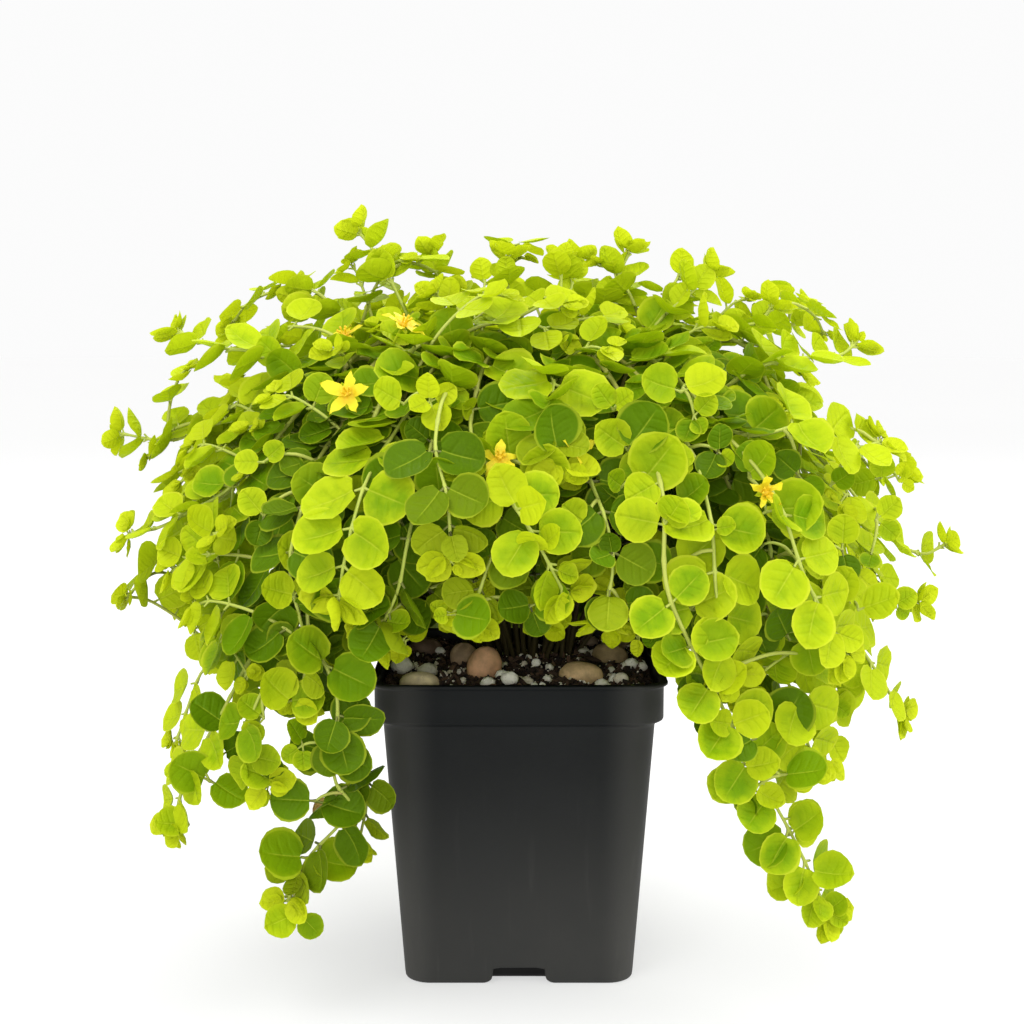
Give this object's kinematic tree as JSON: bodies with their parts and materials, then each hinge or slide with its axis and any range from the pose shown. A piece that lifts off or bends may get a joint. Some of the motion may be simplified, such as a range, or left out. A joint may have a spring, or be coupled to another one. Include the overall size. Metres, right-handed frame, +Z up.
{
  "type": "creeping jenny in a pot",
  "caption": "Golden creeping jenny, a mound of round lime-green leaves with trailing stems and small yellow flowers, in a square black nursery pot with pebbles on the soil.",
  "frame": {"origin": "on the floor, under the middle of the pot's foot", "axes": "+Z up, +X to the right seen from the front, -Y is the front of the plant"},
  "size_m": [0.2982, 0.2514, 0.2638],
  "materials": {
    "black_plastic": "satin, moulded",
    "potting_mix": "moist dark peat with bark",
    "leaf_green": "satin leaf, lime green to yellow at the tips",
    "yellow_petal": "soft satin petal",
    "stone_0": "smooth pebble, light tan",
    "stone_1": "smooth pebble, terracotta brown",
    "stone_2": "smooth pebble, tan",
    "stone_3": "smooth pebble, grey brown",
    "stone_4": "smooth pebble, olive brown",
    "stone_5": "smooth pebble, dark brown",
    "stone_6": "smooth pebble, brown"
  },
  "bodies": {
    "root": {"pot": "black_plastic", "soil": "potting_mix", "pebble_tan": "stone_0", "pebble_terracotta": "stone_1", "pebble_oval": "stone_2", "pebble_grey_brown": "stone_3", "pebble_olive": "stone_4", "pebble_dark_brown": "stone_5", "pebble_back": "stone_6", "stem_top_left_tall": "leaf_green", "stem_top_left": "leaf_green", "stem_top_middle": "leaf_green", "stem_top_back_middle": "leaf_green", "stem_top_right_middle": "leaf_green", "stem_top_right": "leaf_green", "stem_top_right_far": "leaf_green", "stem_shoulder_right_back": "leaf_green", "stem_shoulder_right_front": "leaf_green", "stem_side_right_upper": "leaf_green", "stem_side_right_middle": "leaf_green", "stem_shoulder_left_inner": "leaf_green", "stem_shoulder_left_back": "leaf_green", "stem_shoulder_left_front": "leaf_green", "stem_side_left_upper": "leaf_green", "stem_front_middle_bright": "leaf_green", "stem_front_upper_left": "leaf_green", "stem_front_left_large": "leaf_green", "stem_front_far_left": "leaf_green", "stem_front_left_low": "leaf_green", "stem_front_middle_low": "leaf_green", "stem_front_right_low": "leaf_green", "stem_trail_right_long": "leaf_green", "stem_front_right": "leaf_green", "stem_front_far_right": "leaf_green", "stem_front_upper_right": "leaf_green", "stem_trail_right_outer": "leaf_green", "stem_side_right_hanging": "leaf_green", "stem_side_right_short": "leaf_green", "stem_side_right_reaching": "leaf_green", "stem_side_right_low": "leaf_green", "stem_trail_left_outer": "leaf_green", "stem_trail_left_inner": "leaf_green", "stem_trail_left_long": "leaf_green", "stem_trail_left_by_pot": "leaf_green", "stem_side_left_low": "leaf_green", "stem_side_left_hanging": "leaf_green", "stem_side_left_front": "leaf_green", "stem_back_right": "leaf_green", "stem_back_right_inner": "leaf_green", "stem_back_middle_right": "leaf_green", "stem_back_middle_left": "leaf_green", "stem_back_left_inner": "leaf_green", "stem_back_left": "leaf_green", "stem_side_right_back": "leaf_green", "flower_open": "yellow_petal", "flower_upper": "yellow_petal", "flower_half_hidden": "yellow_petal", "flower_side_on": "yellow_petal", "flower_low": "yellow_petal", "flower_crumpled": "yellow_petal"}
  },
  "joints": []
}
